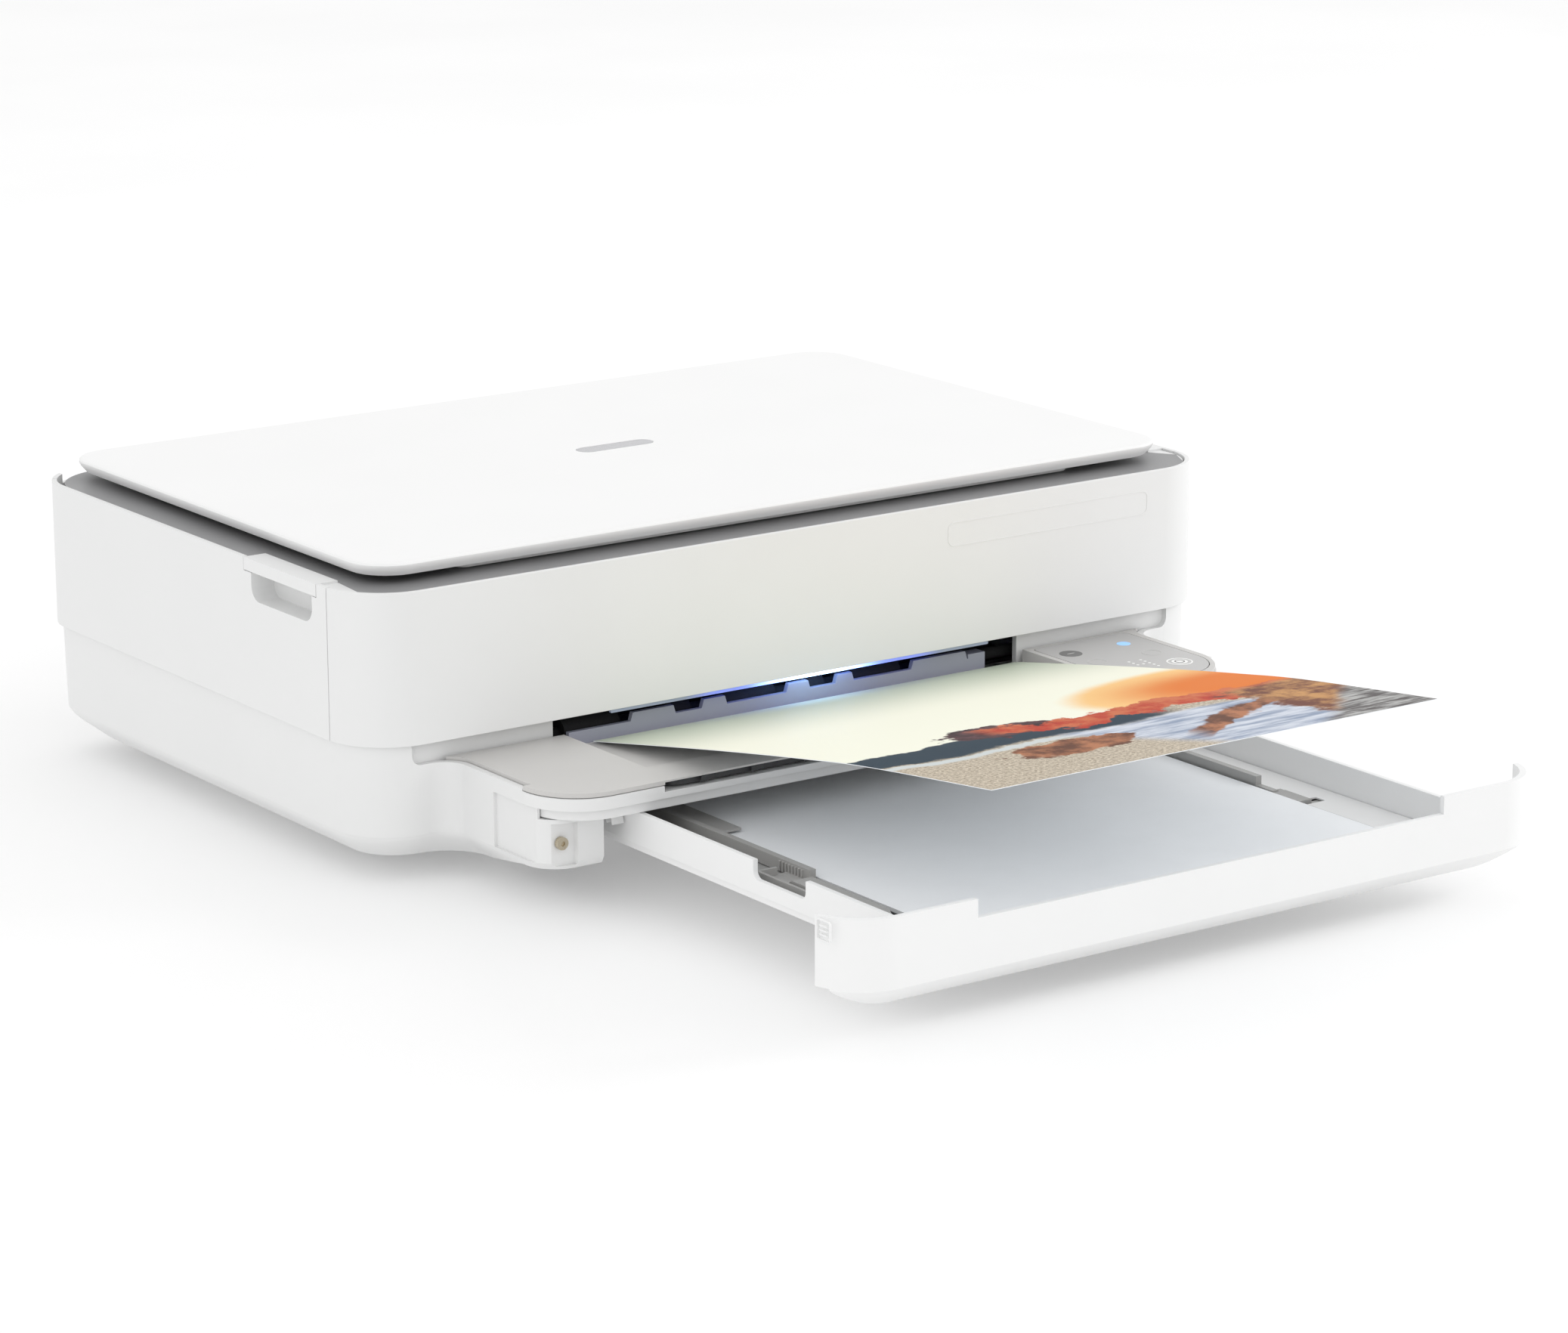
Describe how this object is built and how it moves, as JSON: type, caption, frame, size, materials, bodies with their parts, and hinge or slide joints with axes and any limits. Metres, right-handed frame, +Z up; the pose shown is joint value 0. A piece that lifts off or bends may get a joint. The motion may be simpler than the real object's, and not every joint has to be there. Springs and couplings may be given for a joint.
{
  "type": "inkjet printer",
  "caption": "Low rectangular all-in-one inkjet printer with a flatbed scanner lid, a front output shelf holding a printed sheet, and a pull-out paper tray.",
  "frame": {"origin": "bottom centre of the whole printer as it stands on a table with its tray pulled out", "axes": "+X to the printer's right as seen from the front, +Y to its back, +Z up; the front faces -Y"},
  "size_m": [0.432, 0.542, 0.1298],
  "materials": {
    "bezel_grey": "satin mid grey moulding",
    "board_green": "circuit board",
    "dark_plastic": "satin near-black moulding",
    "foam": "white lid backing",
    "gear_white": "natural acetal",
    "glass": "clear float glass",
    "guide_grey": "satin warm grey moulding",
    "light_blue": "diffusing light guide, lit blue",
    "paper": "uncoated office paper",
    "photo_paper": "glossy printed sheet with a plain sunset picture",
    "rubber": "dull black rubber",
    "shelf_grey": "smooth warm light grey moulding",
    "steel": "bright zinc-plated sheet and ground rod",
    "white_plastic": "fine-textured matte white moulding"
  },
  "bodies": {
    "base": {"lower_casing": "white_plastic", "front_fascia": "white_plastic", "side_panel_left": "white_plastic", "side_panel_right": "white_plastic", "rear_cover": "white_plastic", "foot_front_left": "rubber", "foot_front_right": "rubber", "foot_rear_left": "rubber", "foot_rear_right": "rubber", "arm_screw_left": "steel", "arm_screw_right": "steel", "power_inlet": "dark_plastic", "usb_port": "steel", "output_shelf": "shelf_grey", "shelf_trim": "white_plastic", "shelf_support": "white_plastic", "control_panel": "shelf_grey", "output_sill": "bezel_grey", "light_bar": "light_blue", "printed_sheet": "photo_paper", "mechanism_deck": "dark_plastic", "side_frame_left": "steel", "side_frame_right": "steel", "feed_motor": "steel", "carriage_rail": "steel", "carriage_belt": "rubber", "carriage_motor": "steel", "platen": "dark_plastic", "main_board": "board_green", "power_supply": "dark_plastic"},
    "scanner": {"scanner_housing": "bezel_grey", "scanner_glass": "glass", "scan_rod": "steel"},
    "scan_bar": {"scan_bar": "dark_plastic"},
    "lid": {"lid_shell": "white_plastic", "lid_liner": "dark_plastic", "lid_pad": "foam"},
    "carriage": {"print_carriage": "dark_plastic", "cartridge_black": "dark_plastic", "cartridge_colour": "dark_plastic"},
    "drive_pulley": {"drive_pulley": "gear_white"},
    "idler_pulley": {"idler_pulley": "gear_white"},
    "feed_roller": {"feed_roller": "dark_plastic"},
    "idler_gear": {"idler_gear": "gear_white"},
    "exit_roller": {"exit_roller": "rubber"},
    "motor_pinion": {"motor_pinion": "gear_white"},
    "pick_shaft": {"pick_shaft": "steel"},
    "pick_arm": {"pick_arm": "dark_plastic"},
    "pick_roller": {"pick_roller": "rubber"},
    "power_button": {"power_button": "shelf_grey"},
    "wireless_button": {"wireless_button": "shelf_grey"},
    "cap_sled": {"cap_sled": "guide_grey"},
    "tray": {"tray_front": "white_plastic", "tray_base": "white_plastic", "tray_floor": "bezel_grey", "paper_stack": "paper"},
    "guide_left": {"guide_left": "guide_grey"},
    "guide_right": {"guide_right": "guide_grey"},
    "guide_pinion": {"guide_pinion": "gear_white"},
    "extender": {"extender_arm": "dark_plastic"}
  },
  "joints": [
    {"name": "scanner_lift", "type": "hinge", "parent": "base", "child": "scanner", "pos_m": [0, 0.2555, 0.114], "axis": [-1, 0, 0], "range_deg": [0, 35]},
    {"name": "lid_open", "type": "hinge", "parent": "scanner", "child": "lid", "pos_m": [0, 0.258, 0.127], "axis": [-1, 0, 0], "range_deg": [0, 75]},
    {"name": "scan_bar_travel", "type": "slide", "parent": "scanner", "child": "scan_bar", "axis": [1, 0, 0], "range_m": [0, 0.29]},
    {"name": "tray_push", "type": "slide", "parent": "base", "child": "tray", "axis": [0, 1, 0], "range_m": [0, 0.173]},
    {"name": "guide_left_slide", "type": "slide", "parent": "tray", "child": "guide_left", "axis": [-1, 0, 0], "range_m": [0, 0.005]},
    {"name": "guide_right_slide", "type": "slide", "parent": "tray", "child": "guide_right", "axis": [1, 0, 0], "range_m": [0, 0.005]},
    {"name": "guide_pinion_spin", "type": "hinge", "parent": "tray", "child": "guide_pinion", "pos_m": [0, -0.181, 0.0249], "axis": [0, 0, 1], "range_deg": [0, 48]},
    {"name": "extender_swing", "type": "hinge", "parent": "base", "child": "extender", "pos_m": [0.008, -0.076, 0.049], "axis": [0, 0, 1], "range_deg": [0, 90]},
    {"name": "carriage_travel", "type": "slide", "parent": "base", "child": "carriage", "axis": [-1, 0, 0], "range_m": [0, 0.292]},
    {"name": "drive_pulley_spin", "type": "hinge", "parent": "base", "child": "drive_pulley", "pos_m": [-0.172, 0.083, 0.076], "axis": [0, -1, 0], "continuous": true},
    {"name": "idler_pulley_spin", "type": "hinge", "parent": "base", "child": "idler_pulley", "pos_m": [0.172, 0.083, 0.076], "axis": [0, -1, 0], "continuous": true},
    {"name": "feed_roller_spin", "type": "hinge", "parent": "base", "child": "feed_roller", "pos_m": [0, 0.065, 0.0475], "axis": [1, 0, 0], "continuous": true},
    {"name": "idler_gear_spin", "type": "hinge", "parent": "base", "child": "idler_gear", "pos_m": [-0.18, 0.03077, 0.05179], "axis": [1, 0, 0], "continuous": true},
    {"name": "exit_roller_spin", "type": "hinge", "parent": "base", "child": "exit_roller", "pos_m": [0, 0.0075, 0.0485], "axis": [1, 0, 0], "continuous": true},
    {"name": "motor_pinion_spin", "type": "hinge", "parent": "base", "child": "motor_pinion", "pos_m": [-0.18, 0.08384, 0.06069], "axis": [1, 0, 0], "continuous": true},
    {"name": "pick_shaft_spin", "type": "hinge", "parent": "base", "child": "pick_shaft", "pos_m": [0, 0.141, 0.06], "axis": [1, 0, 0], "continuous": true},
    {"name": "pick_arm_lift", "type": "hinge", "parent": "base", "child": "pick_arm", "pos_m": [0, 0.141, 0.06], "axis": [1, 0, 0], "range_deg": [0, 12]},
    {"name": "pick_roller_spin", "type": "hinge", "parent": "pick_arm", "child": "pick_roller", "pos_m": [0, 0.1928, 0.0392], "axis": [1, 0, 0], "continuous": true},
    {"name": "power_button_press", "type": "slide", "parent": "base", "child": "power_button", "axis": [0, -1, 0], "range_m": [0, 0.0012], "stiffness_N_per_m": 300, "springref_m": -0.0015},
    {"name": "wireless_button_press", "type": "slide", "parent": "base", "child": "wireless_button", "axis": [0, -1, 0], "range_m": [0, 0.0012], "stiffness_N_per_m": 300, "springref_m": -0.0015},
    {"name": "cap_sled_lift", "type": "slide", "parent": "base", "child": "cap_sled", "axis": [0, 0, 1], "range_m": [0, 0.003]}
  ],
  "couplings": [
    {"joint": "guide_right_slide", "follows": "guide_left_slide", "ratio": 1},
    {"joint": "guide_pinion_spin", "follows": "guide_left_slide", "rad_per_m": 166.67},
    {"joint": "drive_pulley_spin", "follows": "carriage_travel", "rad_per_m": 126.58},
    {"joint": "idler_pulley_spin", "follows": "carriage_travel", "rad_per_m": 126.58},
    {"joint": "idler_gear_spin", "follows": "feed_roller_spin", "ratio": -0.97143},
    {"joint": "exit_roller_spin", "follows": "feed_roller_spin", "ratio": 2.8333},
    {"joint": "motor_pinion_spin", "follows": "feed_roller_spin", "ratio": -2.8333},
    {"joint": "pick_roller_spin", "follows": "pick_shaft_spin", "ratio": 1}
  ]
}
